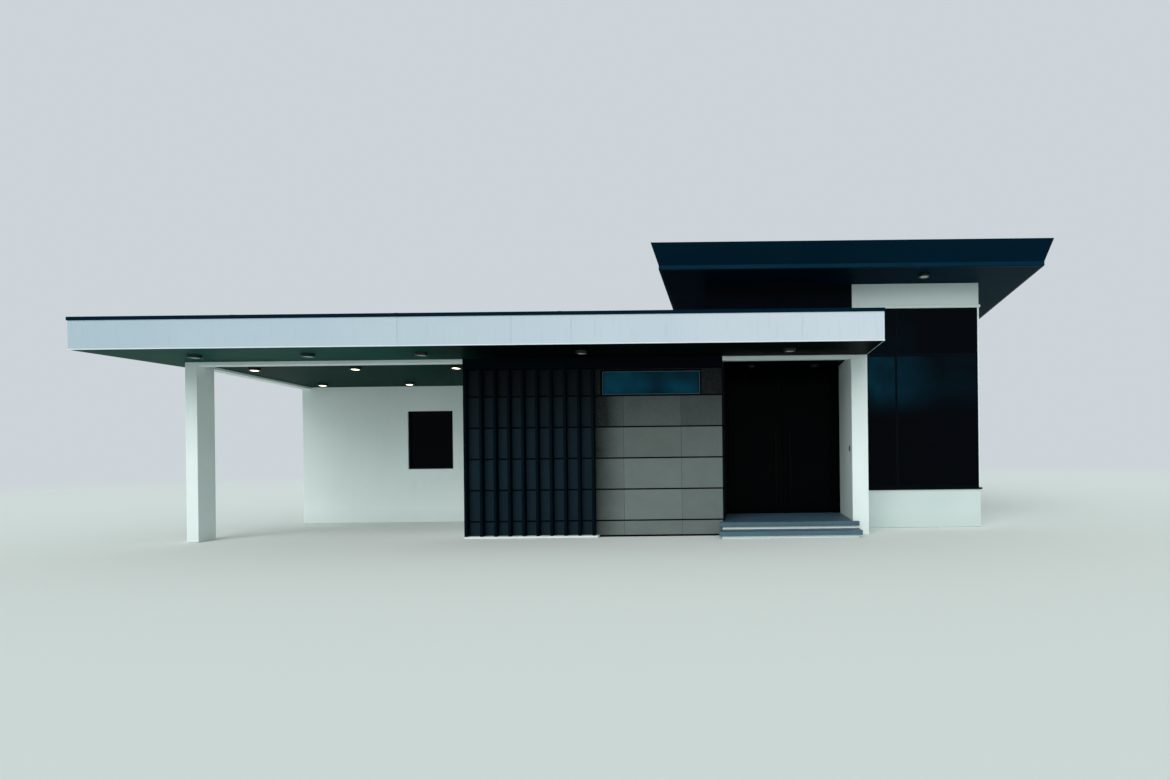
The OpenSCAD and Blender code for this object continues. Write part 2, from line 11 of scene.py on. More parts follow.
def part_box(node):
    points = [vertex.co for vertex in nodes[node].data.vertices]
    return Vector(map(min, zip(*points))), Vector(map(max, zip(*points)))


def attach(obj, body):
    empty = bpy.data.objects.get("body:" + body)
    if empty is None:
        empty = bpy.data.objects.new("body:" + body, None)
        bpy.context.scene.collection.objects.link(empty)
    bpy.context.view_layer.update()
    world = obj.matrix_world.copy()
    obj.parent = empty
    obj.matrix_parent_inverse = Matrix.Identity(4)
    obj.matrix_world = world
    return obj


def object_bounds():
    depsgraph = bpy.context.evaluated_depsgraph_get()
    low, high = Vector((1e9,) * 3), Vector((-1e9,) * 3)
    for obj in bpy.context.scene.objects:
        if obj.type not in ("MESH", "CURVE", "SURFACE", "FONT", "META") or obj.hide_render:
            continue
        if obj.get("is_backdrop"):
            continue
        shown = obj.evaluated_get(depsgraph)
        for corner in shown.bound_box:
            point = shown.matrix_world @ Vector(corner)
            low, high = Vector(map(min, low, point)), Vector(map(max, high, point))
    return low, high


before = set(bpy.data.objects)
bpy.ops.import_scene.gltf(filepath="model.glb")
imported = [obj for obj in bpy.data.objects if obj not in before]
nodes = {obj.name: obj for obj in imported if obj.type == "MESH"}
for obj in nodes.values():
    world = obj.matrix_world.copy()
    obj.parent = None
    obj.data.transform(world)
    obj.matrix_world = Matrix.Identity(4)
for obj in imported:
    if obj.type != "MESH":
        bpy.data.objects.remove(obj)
cad_low, cad_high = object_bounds()

# Camera: a wide lens, held level 1.6 m up and about 11 m before the fascia, with a slight lean to one
# side. The photograph is cut off centre, so the lens axis isn't in its middle.
photo_width_px, photo_height_px = 1170, 780
focal_px = 680
axis_x_px, axis_y_px = 745, 452
sensor_mm = 36
eye = Vector((2.659, -17.452, 1.60))
lean_deg = 0.65
farthest_seen = 500

camera_data = bpy.data.cameras.new("camera")
camera_data.sensor_width = sensor_mm
camera_data.lens = sensor_mm * focal_px / photo_width_px
camera_data.shift_x = (photo_width_px / 2 - axis_x_px) / photo_width_px
camera_data.shift_y = (axis_y_px - photo_height_px / 2) / photo_width_px
camera_data.clip_end = farthest_seen
camera = bpy.data.objects.new("camera", camera_data)
camera.location = eye
camera.rotation_euler = (math.radians(90), math.radians(lean_deg), 0)
bpy.context.scene.collection.objects.link(camera)
bpy.context.scene.camera = camera
bpy.context.scene.view_settings.view_transform = "Standard"

# Ground, sky and sun: a pale matt floor, which fades into an even pale sky far from the house. It isn't
# part of the house. The light is that of a bright haze, stronger low down, with a soft sun in front.
floor_radius, floor_corners, floor_drop = 140, 96, 0.004
fade_start, fade_end = 22, 60
haze_low, haze_high = 0.85, 0.45
sun_strength, sun_spread_deg = 1.8, 50
sun_tilt_deg, sun_turn_deg = 58, -12


def to_linear(hex_colour):
    """An sRGB hex colour as linear red, green, blue and alpha."""
    channels = [int(hex_colour[i:i + 2], 16) / 255 for i in (1, 3, 5)]
    return [c / 12.92 if c <= 0.04045 else ((c + 0.055) / 1.055) ** 2.4 for c in channels] + [1]


def add_node(tree, kind, settings=(), links=()):
    """Adds a node; settings are (input or property, value), links are (input, socket it comes from)."""
    node = tree.nodes.new(kind)
    for name, value in settings:
        if isinstance(name, str) and hasattr(node, name):
            setattr(node, name, value)
        else:
            node.inputs[name].default_value = value
    for name, source in links:
        tree.links.new(source, node.inputs[name])
    return node


sky_pale = to_linear("#ccd4d9")
floor_pale = to_linear("#e8ece9")

ground_finish = bpy.data.materials.new("pale_studio_floor")
ground_finish.use_nodes = True
tree = ground_finish.node_tree
tree.nodes.clear()
place = add_node(tree, "ShaderNodeNewGeometry")
distance = add_node(tree, "ShaderNodeVectorMath", [("operation", "LENGTH")],
    [(0, place.outputs["Position"])])
fade = add_node(tree, "ShaderNodeMapRange", [("From Min", fade_start), ("From Max", fade_end),
    ("interpolation_type", "SMOOTHERSTEP")], [("Value", distance.outputs["Value"])])
matt = add_node(tree, "ShaderNodeBsdfDiffuse", [("Color", floor_pale)])
haze = add_node(tree, "ShaderNodeEmission", [("Color", sky_pale), ("Strength", 1)])
mixed = add_node(tree, "ShaderNodeMixShader", (), [(0, fade.outputs["Result"]),
    (1, matt.outputs["BSDF"]), (2, haze.outputs["Emission"])])
add_node(tree, "ShaderNodeOutputMaterial", (), [("Surface", mixed.outputs["Shader"])])

ground_shape = bmesh.new()
bmesh.ops.create_circle(ground_shape, cap_ends=True, segments=floor_corners, radius=floor_radius)
ground_mesh = bpy.data.meshes.new("studio_floor")
ground_shape.to_mesh(ground_mesh)
ground_shape.free()
ground = bpy.data.objects.new("studio_floor", ground_mesh)
ground.location.z = -floor_drop
ground.data.materials.append(ground_finish)
bpy.context.scene.collection.objects.link(ground)
ground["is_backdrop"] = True

world = bpy.data.worlds.new("even_sky")
world.use_nodes = True
bpy.context.scene.world = world
tree = world.node_tree
tree.nodes.clear()
path = add_node(tree, "ShaderNodeLightPath")
seen = add_node(tree, "ShaderNodeMath", [("operation", "MAXIMUM")],
    [(0, path.outputs["Is Camera Ray"]), (1, path.outputs["Is Glossy Ray"])])
seen = add_node(tree, "ShaderNodeMath", [("operation", "MAXIMUM")],
    [(0, seen.outputs["Value"]), (1, path.outputs["Is Transmission Ray"])])
direction = add_node(tree, "ShaderNodeTexCoord")
height = add_node(tree, "ShaderNodeSeparateXYZ", (), [("Vector", direction.outputs["Generated"])])
haze_light = add_node(tree, "ShaderNodeMapRange", [("To Min", haze_low), ("To Max", haze_high)],
    [("Value", height.outputs["Z"])])
lit = add_node(tree, "ShaderNodeBackground", [("Color", to_linear("#e6f6f5"))],
    [("Strength", haze_light.outputs["Result"])])
shown = add_node(tree, "ShaderNodeBackground", [("Color", sky_pale), ("Strength", 1)])
mixed = add_node(tree, "ShaderNodeMixShader", (), [(0, seen.outputs["Value"]),
    (1, lit.outputs["Background"]), (2, shown.outputs["Background"])])
add_node(tree, "ShaderNodeOutputWorld", (), [("Surface", mixed.outputs["Shader"])])

sun_data = bpy.data.lights.new("soft_sun", "SUN")
sun_data.energy = sun_strength
sun_data.angle = math.radians(sun_spread_deg)
sun_data.color = (1.0, 0.98, 0.985)
sun = bpy.data.objects.new("soft_sun", sun_data)
sun.rotation_euler = (math.radians(sun_tilt_deg), 0, math.radians(sun_turn_deg))
bpy.context.scene.collection.objects.link(sun)
sun.visible_glossy = False

# Floors inside: trowelled concrete slabs on the ground. Trowelling leaves cloudy patches and a close
# matt skin with a fine grit.
def new_finish(name, roughness, ior=1.5, metallic=0.0, specular=0.5):
    """A material with one Principled shader: gives it, its nodes, the shader and the spot on the house."""
    finish = bpy.data.materials.new(name)
    finish.use_nodes = True
    shader = finish.node_tree.nodes["Principled BSDF"]
    shader.inputs["Roughness"].default_value = roughness
    shader.inputs["IOR"].default_value = ior
    shader.inputs["Metallic"].default_value = metallic
    shader.inputs["Specular IOR Level"].default_value = specular
    spot = add_node(finish.node_tree, "ShaderNodeTexCoord")
    return finish, finish.node_tree, shader, spot.outputs["Object"]


def per_metre(size_mm):
    """Texture scale of a pattern whose feature size is given in millimetres."""
    return 1000 / size_mm


def two_tones(tree, shader, share, dark, light):
    """Base colour: two close tones, mixed by a share from 0 to 1."""
    tone = add_node(tree, "ShaderNodeMix", [("data_type", "RGBA"), (6, to_linear(dark)),
        (7, to_linear(light))], [(0, share)])
    tree.links.new(tone.outputs[2], shader.inputs["Base Color"])


def mottle(tree, shader, spot, dark, light, size_mm, detail, rough=0.5):
    """Two close tones in soft clouds of a real size; gives the clouds, for what varies with them."""
    clouds = add_node(tree, "ShaderNodeTexNoise", [("Scale", per_metre(size_mm)), ("Detail", detail),
        ("Roughness", rough)], [("Vector", spot)])
    two_tones(tree, shader, clouds.outputs["Fac"], dark, light)
    return clouds.outputs["Fac"]


def relief(tree, shader, height, strength, depth):
    """A bump from a pattern of heights; its depth is in metres."""
    rise = add_node(tree, "ShaderNodeBump", [("Strength", strength), ("Distance", depth)],
        [("Height", height)])
    tree.links.new(rise.outputs["Normal"], shader.inputs["Normal"])


def uneven_skin(tree, shader, spot, size_mm, detail, strength, depth):
    """A bump of soft lumps, whose size is given in millimetres."""
    lumps = add_node(tree, "ShaderNodeTexNoise", [("Scale", per_metre(size_mm)), ("Detail", detail)],
        [("Vector", spot)])
    relief(tree, shader, lumps.outputs["Fac"], strength, depth)


def cover(names, finish):
    """Gives CAD nodes their finish through their objects' material slots."""
    for name in names:
        for slot in nodes[name].material_slots:
            slot.material = finish


concrete, tree, shader, spot = new_finish("trowelled_concrete", 0.7)
mottle(tree, shader, spot, "#8b8b87", "#a3a29c", size_mm=650, detail=6)
uneven_skin(tree, shader, spot, size_mm=14, detail=4, strength=0.3, depth=0.001)
cover(["rear_floor", "bedroom_floor", "hall_floor"], concrete)

# Steps: thick slabs of honed blue-grey stone over white bases that stand back in their shade. Honing
# leaves a dull sheen, and the stone has soft clouds and fine dark grains, each of them a slight pit.
grain_mm, grain_reach = 16, 0.35
slab_arris, slab_arris_steps = 0.006, 3
corner_gap, sharp_deg = 0.00005, 40


def vary_sheen(tree, shader, clouds, smooth, rough):
    """Roughness between two values, in the clouds of the tones."""
    sheen = add_node(tree, "ShaderNodeMapRange", [("To Min", smooth), ("To Max", rough)],
        [("Value", clouds)])
    tree.links.new(sheen.outputs["Result"], shader.inputs["Roughness"])


def ease(piece, width, segments):
    """Rounds the arrises of a piece with a modifier."""
    arris = piece.modifiers.new("arris", "BEVEL")
    arris.width = width
    arris.segments = segments
    arris.limit_method = "ANGLE"
    arris.angle_limit = math.radians(sharp_deg)


def ease_nodes(names, width, segments=2):
    """Rounds the arrises of CAD nodes, after their split corners are joined."""
    for name in names:
        weld = nodes[name].modifiers.new("join_corners", "WELD")
        weld.merge_threshold = corner_gap
        ease(nodes[name], width, segments)


bluestone, tree, shader, spot = new_finish("honed_bluestone", 0.42, ior=1.54)
clouds = mottle(tree, shader, spot, "#354f5d", "#50707f", size_mm=260, detail=8, rough=0.6)
vary_sheen(tree, shader, clouds, smooth=0.34, rough=0.56)
grains = add_node(tree, "ShaderNodeTexVoronoi", [("Scale", per_metre(grain_mm))], [("Vector", spot)])
plain = add_node(tree, "ShaderNodeMapRange", [("From Min", 0.0), ("From Max", grain_reach)],
    [("Value", grains.outputs["Distance"])])
cloudy_tone = shader.inputs["Base Color"].links[0].from_socket
grained = add_node(tree, "ShaderNodeMix", [("data_type", "RGBA"), (6, to_linear("#2a414c"))],
    [(0, plain.outputs["Result"]), (7, cloudy_tone)])
tree.links.new(grained.outputs[2], shader.inputs["Base Color"])
relief(tree, shader, plain.outputs["Result"], strength=0.25, depth=0.0008)
cover(["porch_slab", "entry_step", "door_threshold"], bluestone)
ease_nodes(["porch_slab", "entry_step"], slab_arris, slab_arris_steps)

# Walls, pier, beams, plinth and band: sand and cement render, floated smooth and rolled with white
# paint. The roller leaves a fine stipple, and rain leaves faint streaks and a dull foot.
plaster_nodes = ["step_bases", "front_kerb", "carport_pier", "carport_beams", "entrance_beam",
    "carport_rear_wall", "carport_inner_wall", "entrance_side_wall", "left_wall", "rear_wall",
    "rear_wall_tall", "right_wall", "tall_left_wall"]
foot_height = 0.34
stipple_mm, swell = 9, 2.0
render_arris = 0.008


def lay_over(tree, shader, mask, colour):
    """Lays one more colour over the base colour, as strongly as the mask says."""
    below = shader.inputs["Base Color"].links[0].from_socket
    coat = add_node(tree, "ShaderNodeMix", [("data_type", "RGBA"), (7, to_linear(colour))],
        [(0, mask), (6, below)])
    tree.links.new(coat.outputs[2], shader.inputs["Base Color"])


def upright_runs(tree, spot, width_mm, squeeze):
    """Clouds of a real width, drawn out upright: squeeze is their width over their height."""
    drawn_out = add_node(tree, "ShaderNodeMapping", [("Scale", (1, 1, squeeze))], [("Vector", spot)])
    runs = add_node(tree, "ShaderNodeTexNoise", [("Scale", per_metre(width_mm)), ("Detail", 3)],
        [("Vector", drawn_out.outputs["Vector"])])
    return runs.outputs["Fac"]


def rain_streaks(tree, shader, spot, colour, width_mm, squeeze, start, strength):
    """Faint upright streaks of another colour, where the runs are higher than start."""
    streaks = add_node(tree, "ShaderNodeMapRange", [("From Min", start), ("From Max", 0.8),
        ("To Max", strength)], [("Value", upright_runs(tree, spot, width_mm, squeeze))])
    lay_over(tree, shader, streaks.outputs["Result"], colour)


def painted_render(name, dark, light):
    """Floated render under rolled paint: cloudy, streaked by rain, duller at its foot, stippled."""
    finish, tree, shader, spot = new_finish(name, 0.78)
    clouds = mottle(tree, shader, spot, dark, light, size_mm=900, detail=5)
    rain_streaks(tree, shader, spot, "#b4bcb8", width_mm=70, squeeze=0.06, start=0.56, strength=0.06)
    height = add_node(tree, "ShaderNodeSeparateXYZ", (), [("Vector", spot)])
    foot = add_node(tree, "ShaderNodeMapRange", [("From Min", foot_height), ("From Max", 0.0),
        ("To Max", 0.3)], [("Value", height.outputs["Z"])])
    foot_patch = add_node(tree, "ShaderNodeMath", [("operation", "MULTIPLY")],
        [(0, foot.outputs["Result"]), (1, clouds)])
    lay_over(tree, shader, foot_patch.outputs["Value"], "#9aa19b")
    stipple = add_node(tree, "ShaderNodeTexNoise", [("Scale", per_metre(stipple_mm)), ("Detail", 3)],
        [("Vector", spot)])
    waves = add_node(tree, "ShaderNodeMath", [("operation", "MULTIPLY_ADD"), (1, swell)],
        [(0, clouds), (2, stipple.outputs["Fac"])])
    relief(tree, shader, waves.outputs["Value"], strength=0.28, depth=0.0012)
    return finish


cover(plaster_nodes, painted_render("painted_render_white", "#dce8e6", "#e8f1ef"))
# The tall wing's plinth and band take a greyer copy of the white, as a painted shade of the upper roof's
# overhang.
cover(["wing_plinth", "wing_band"], painted_render("painted_render_white_in_painted_shade", "#c0cecb", "#cdd9d7"))
ease_nodes(["carport_pier", "carport_beams", "entrance_beam", "carport_rear_wall", "entrance_side_wall",
    "left_wall", "rear_wall", "rear_wall_tall", "right_wall", "wing_plinth", "wing_band", "front_kerb"],
    render_arris)

# Cladding of the front wall: fibre cement boards in rows over a black backing, which shows in the
# level grooves. They are plain grey, and dark slate behind the fins. Each board has its own tone at
# random, over a row tone that darkens towards the top as a painted shade of the canopy. The grey boards
# also darken right beside the fins, as a painted shadow of the fins.
board_foot, first_groove = 0.02, 0.313
row_height, groove_count = 0.600, 5
column_width, joint_count = 1.110, 4
groove, joint = 0.028, 0.003
board_t, narrowest = 0.012, 0.05
frame_reach, frame_gap = 0.1, 0.004
# Beside the fins: the end of the slate boards, and how far the painted shadow of the fins reaches on the
# grey boards.
slate_inset, fin_shadow_width = 0.025, 0.62
# Row tones from the foot up: a painted shade of the canopy, darker towards the top.
row_tones_painted_shade = [0.80, 0.80, 0.76, 0.63, 0.32, -0.30]
board_variation = 0.16
wall_low, wall_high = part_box("front_wall")
header_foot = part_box("front_header")[0].z
slate_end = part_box("fins")[1].x - slate_inset


def joined_shape(name):
    """The mesh of a CAD node as a bmesh, with its split corners joined."""
    shape = bmesh.new()
    shape.from_mesh(nodes[name].data)
    bmesh.ops.remove_doubles(shape, verts=shape.verts, dist=corner_gap)
    return shape


def islands(shape):
    """The faces of each separate solid in a bmesh."""
    known, found = set(), []
    for first in shape.faces:
        if first in known:
            continue
        known.add(first)
        island = [first]
        for face in island:
            for other in [f for vert in face.verts for f in vert.link_faces]:
                if other not in known:
                    known.add(other)
                    island.append(other)
        found.append(island)
    return found


def solids(name):
    """Lowest and highest corner of each separate solid of a CAD node, from left to right."""
    shape = joined_shape(name)
    found = []
    for island in islands(shape):
        corners = [vert.co for face in island for vert in face.verts]
        found.append((Vector([min(c[i] for c in corners) for i in range(3)]),
            Vector([max(c[i] for c in corners) for i in range(3)])))
    shape.free()
    return sorted(found, key=lambda pair: (round(pair[0].x, 3), round(pair[0].y, 3), round(pair[0].z, 3)))


def add_box(shape, low, high, tone=0.5):
    """Adds a box between two corners to a bmesh, and stores its tone on its faces."""
    size = Vector(high) - Vector(low)
    middle = (Vector(high) + Vector(low)) / 2
    made = bmesh.ops.create_cube(shape, size=1,
        matrix=Matrix.Translation(middle) @ Matrix.Diagonal((*size, 1)))
    layer = shape.faces.layers.float.get("tone") or shape.faces.layers.float.new("tone")
    for face in {f for vert in made["verts"] for f in vert.link_faces}:
        face[layer] = tone


def add_piece(name, shape, finish, body="root", arris=0.0):
    """Turns a bmesh into a piece of the house that rides on a body, with its arrises eased."""
    mesh = bpy.data.meshes.new(name)
    bmesh.ops.recalc_face_normals(shape, faces=shape.faces)
    shape.to_mesh(mesh)
    shape.free()
    mesh.materials.append(finish)
    piece = bpy.data.objects.new(name, mesh)
    bpy.context.scene.collection.objects.link(piece)
    if arris:
        ease(piece, arris, 1)
    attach(piece, body)


def around(rect, hole):
    """The parts of an upright rectangle [x0, z0, x1, z1] that lie outside a hole."""
    x0, z0, x1, z1 = rect
    a0, b0, a1, b1 = hole
    if a0 >= x1 or a1 <= x0 or b0 >= z1 or b1 <= z0:
        return [rect]
    parts = [[x0, z0, min(a0, x1), z1], [max(a1, x0), z0, x1, z1],
        [max(a0, x0), z0, min(a1, x1), b0], [max(a0, x0), b1, min(a1, x1), z1]]
    return [p for p in parts if p[2] - p[0] > joint and p[3] - p[1] > joint]


frames_here = [s for s in solids("window_frames") if abs(s[0].y - wall_low.y) < frame_reach]
strip_low, strip_high = min(frames_here, key=lambda s: s[0].x)
strip_hole = [strip_low.x - frame_gap, strip_low.z - frame_gap,
    strip_high.x + frame_gap, strip_high.z + frame_gap]
row_lines = [board_foot] + [first_groove + i * row_height for i in range(groove_count)] + [header_foot]
wall_middle = (wall_low.x + wall_high.x) / 2
column_lines = [wall_low.x] + [wall_middle + (i - (joint_count - 1) / 2) * column_width
    for i in range(joint_count)] + [wall_high.x]

random.seed(7)
grey_boards, slate_boards = bmesh.new(), bmesh.new()
for z0, z1, row_painted_shade in zip(row_lines, row_lines[1:], row_tones_painted_shade):
    for x0, x1 in zip(column_lines, column_lines[1:]):
        spans = [(x0, min(x1, slate_end), slate_boards), (max(x0, slate_end), x1, grey_boards)]
        for a, b, shape in spans:
            tone_and_painted_shade = row_painted_shade + board_variation * random.random()
            if b - a < narrowest:
                continue
            rect = [a + joint / 2, z0 + groove / 2, b - joint / 2, z1 - groove / 2]
            for p in around(rect, strip_hole):
                add_box(shape, (p[0], wall_low.y - board_t, p[1]), (p[2], wall_low.y, p[3]), tone_and_painted_shade)


def own_tones(tree, spot, drift, size_mm, detail, rough, share):
    """Each board's stored tone, with a share of clouds and a gain that drift reads off the place in X."""
    own = add_node(tree, "ShaderNodeAttribute", [("attribute_name", "tone")])
    clouds = add_node(tree, "ShaderNodeTexNoise", [("Scale", per_metre(size_mm)), ("Detail", detail),
        ("Roughness", rough)], [("Vector", spot)])
    cloudy = add_node(tree, "ShaderNodeMath", [("operation", "MULTIPLY_ADD"), (1, share)],
        [(0, clouds.outputs["Fac"]), (2, own.outputs["Fac"])])
    place = add_node(tree, "ShaderNodeSeparateXYZ", (), [("Vector", spot)])
    gain = add_node(tree, "ShaderNodeMapRange", drift, [("Value", place.outputs["X"])])
    amount = add_node(tree, "ShaderNodeMath", [("operation", "ADD")],
        [(0, cloudy.outputs["Value"]), (1, gain.outputs["Result"])])
    return amount.outputs["Value"]


def board_finish(name, dark, light, fleck, fin_shadow):
    """Fibre cement: cloudy, flecked and faintly brushed. Its last argument is the tone taken off right
    beside the fins, as a painted shadow of the fins.
    """
    finish, tree, shader, spot = new_finish(name, 0.62, specular=0.2)
    painted_fin_shadow = [("From Min", slate_end), ("From Max", slate_end + fin_shadow_width), ("To Min", -fin_shadow),
        ("To Max", 0), ("interpolation_type", "SMOOTHSTEP")]
    spread = add_node(tree, "ShaderNodeMapRange", [("From Min", 0.15), ("From Max", 1.15)],
        [("Value", own_tones(tree, spot, painted_fin_shadow, size_mm=420, detail=7, rough=0.62, share=0.3))])
    two_tones(tree, shader, spread.outputs["Result"], dark, light)
    flecks = add_node(tree, "ShaderNodeTexNoise", [("Scale", per_metre(7)), ("Detail", 2)],
        [("Vector", spot)])
    fleck_mask = add_node(tree, "ShaderNodeMapRange", [("From Min", 0.56), ("From Max", 0.74),
        ("To Max", 0.35)], [("Value", flecks.outputs["Fac"])])
    lay_over(tree, shader, fleck_mask.outputs["Result"], fleck)
    height = add_node(tree, "ShaderNodeMath", [("operation", "ADD")],
        [(0, upright_runs(tree, spot, width_mm=12, squeeze=0.05)), (1, flecks.outputs["Fac"])])
    relief(tree, shader, height.outputs["Value"], strength=0.25, depth=0.0008)
    return finish


# The grey boards darken right beside the fins as a painted shadow of the fins; the slate ones don't.
grey_fibre_cement = board_finish("grey_fibre_cement_board", "#040b10", "#68726f", "#7a8481", 0.6)
slate_fibre_cement = board_finish("slate_fibre_cement_board", "#010a11", "#0a202a", "#142c36", 0)
add_piece("cladding_grey_boards", grey_boards, grey_fibre_cement, arris=0.002)
add_piece("cladding_slate_boards", slate_boards, slate_fibre_cement, arris=0.002)

black_backing, tree, shader, spot = new_finish("black_backing_sheet", 0.85, specular=0.05)
mottle(tree, shader, spot, "#030506", "#080b0d", size_mm=20, detail=4)
cover(["front_wall", "entrance_left_wall"], black_backing)

# Fins, header, bell, window frames and the wall over the canopy: aluminium sections and sheet under a
# baked powder coat, near-black, and dark slate on the fins. It has a satin skin with an orange peel.
section_arris, sash_arris = 0.003, 0.0025


def powder_coat(name, dark, light):
    """Powder coat baked on aluminium: soft clouds, and an orange peel drawn coarser than a real one."""
    finish, tree, shader, spot = new_finish(name, 0.5, specular=0.03)
    mottle(tree, shader, spot, dark, light, size_mm=500, detail=4)
    uneven_skin(tree, shader, spot, size_mm=6, detail=1, strength=0.12, depth=0.0004)
    return finish


black_powder_coat = powder_coat("powder_coated_aluminium_black", "#01060b", "#040e16")
cover(["fins"], powder_coat("powder_coated_aluminium_slate", "#010910", "#03121b"))
cover(["front_header", "window_frames", "wing_glazing_frame", "door_bell", "tall_front_wall"],
    black_powder_coat)
ease_nodes(["fins", "front_header"], section_arris)
ease_nodes(["window_frames", "wing_glazing_frame", "door_frame"], sash_arris)

# Trims of the cladding: aluminium in the same near-black coat, folded round the corner at the entrance,
# and a narrow strip that closes the end of the slate boards beside the fins.
corner_trim_w, corner_trim_proud, corner_trim_lap = 0.022, 0.004, 0.003
end_trim_w, end_trim_proud = 0.006, 0.002
trims = bmesh.new()
add_box(trims, (wall_high.x - corner_trim_w, wall_low.y - board_t - corner_trim_proud, board_foot),
    (wall_high.x + corner_trim_lap, wall_low.y, header_foot))
add_box(trims, (slate_end, wall_low.y - board_t - end_trim_proud, board_foot),
    (slate_end + end_trim_w, wall_low.y, header_foot))
add_piece("cladding_trims", trims, black_powder_coat, arris=0.0015)

# Entrance's left wall: the same slate boards, but thinner ones, fixed to the backing in the recess as
# far as the door frame. Their rows run on from those of the front wall.
return_t, door_frame_room = 0.006, 0.115
return_variation = 0.3
left_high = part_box("entrance_left_wall")[1]
return_boards = bmesh.new()
for z0, z1 in zip(row_lines, row_lines[1:] + [left_high.z]):
    if z1 <= z0:
        continue
    head = min(z1, left_high.z) - groove / 2
    add_box(return_boards, (left_high.x, wall_low.y, z0 + groove / 2),
        (left_high.x + return_t, left_high.y - door_frame_room, head), return_variation * random.random())
add_piece("entrance_left_boards", return_boards, slate_fibre_cement, arris=0.0015)

# Glass: tinted float glass. It shows almost black, with clean reflections that waver a little. High up,
# a cloudy blue painted reflection of the sky is laid into its colour: in the strip window, and under the
# transom of the tall glazing towards the doors.
reflection_foot, reflection_full = 2.2, 3.0
reflection_head, transom_foot = 3.56, 3.6
reflection_left, reflection_right = 2.6, 6.7
reflection_reach = 0.3
tinted_glass, tree, shader, spot = new_finish("tinted_float_glass", 0.03, ior=1.52, specular=0.03)
uneven_skin(tree, shader, spot, size_mm=900, detail=1, strength=0.35, depth=0.004)
dust = add_node(tree, "ShaderNodeTexNoise", [("Scale", per_metre(240)), ("Detail", 6)],
    [("Vector", spot)])
dusty = add_node(tree, "ShaderNodeMapRange", [("From Min", 0.4), ("From Max", 0.8), ("To Min", 0.02),
    ("To Max", 0.08)], [("Value", dust.outputs["Fac"])])
tree.links.new(dusty.outputs["Result"], shader.inputs["Roughness"])
place = add_node(tree, "ShaderNodeSeparateXYZ", (), [("Vector", spot)])
rising = add_node(tree, "ShaderNodeMapRange", [("From Min", reflection_foot), ("From Max", reflection_full),
    ("interpolation_type", "SMOOTHSTEP")], [("Value", place.outputs["Z"])])
falling = add_node(tree, "ShaderNodeMapRange", [("From Min", transom_foot), ("From Max", reflection_head),
    ("To Min", 0.1)], [("Value", place.outputs["Z"])])
fading = add_node(tree, "ShaderNodeMapRange", [("From Min", reflection_right), ("From Max", reflection_left),
    ("To Min", 0.05)], [("Value", place.outputs["X"])])
in_front = add_node(tree, "ShaderNodeMath", [("operation", "LESS_THAN"),
    (1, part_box("wing_glass")[1].y + reflection_reach)], [(0, place.outputs["Y"])])
clouds = add_node(tree, "ShaderNodeTexNoise", [("Scale", per_metre(800)), ("Detail", 4)],
    [("Vector", spot)])
cloudy = add_node(tree, "ShaderNodeMapRange", [("From Min", 0.34), ("From Max", 0.68), ("To Min", 0.35)],
    [("Value", clouds.outputs["Fac"])])
# The painted reflection of the sky: high up, faint above the transom, fading to the right, only on the
# front glass, in clouds.
painted_reflection = rising.outputs["Result"]
for limit in (falling.outputs["Result"], fading.outputs["Result"], in_front.outputs["Value"],
        cloudy.outputs["Result"]):
    product = add_node(tree, "ShaderNodeMath", [("operation", "MULTIPLY")], [(0, painted_reflection), (1, limit)])
    painted_reflection = product.outputs["Value"]
two_tones(tree, shader, painted_reflection, "#020408", "#085069")
cover(["wing_glass", "window_glass"], tinted_glass)

# Glazing beads: a black rubber gasket round each pane, pressed in between the frame and the glass on
# its outer side. Rubber is dull, with a faint bloom.
gasket_w, gasket_t = 0.008, 0.006
rubber, tree, shader, spot = new_finish("black_rubber_gasket", 0.75, specular=0.15)
mottle(tree, shader, spot, "#060808", "#0e1112", size_mm=60, detail=4)
gaskets = bmesh.new()
house_middle = (cad_low + cad_high) / 2
for low, high in solids("window_glass") + solids("wing_glass"):
    u, n = (1, 0) if high.x - low.x < high.y - low.y else (0, 1)
    outer, step = (low[n], -gasket_t) if low[n] < house_middle[n] else (high[n], gasket_t)
    for a0, a1, z0, z1 in (
            (low[u], high[u], low.z, low.z + gasket_w), (low[u], high[u], high.z - gasket_w, high.z),
            (low[u], low[u] + gasket_w, low.z + gasket_w, high.z - gasket_w),
            (high[u] - gasket_w, high[u], low.z + gasket_w, high.z - gasket_w)):
        corner_a, corner_b = Vector((0, 0, z0)), Vector((0, 0, z1))
        corner_a[u], corner_b[u] = a0, a1
        corner_a[n], corner_b[n] = min(outer, outer + step), max(outer, outer + step)
        add_box(gaskets, corner_a, corner_b)
add_piece("glazing_gaskets", gaskets, rubber, arris=0.0015)

# Bead of the strip window: a mill-finish aluminium strip on the dark sash, mitred round the glass. It
# is dull and faintly uneven, as it comes from the mill.
bead_in, bead_w, bead_out, bead_back = 0.026, 0.012, 0.002, 0.010


def skin(shape, rings, closed=False):
    """Joins each ring of corners to the next with faces, and the last to the first if closed."""
    for lower, upper in zip(rings, rings[1:] + (rings[:1] if closed else [])):
        for i in range(len(lower)):
            j = (i + 1) % len(lower)
            shape.faces.new((lower[i], lower[j], upper[j], upper[i]))


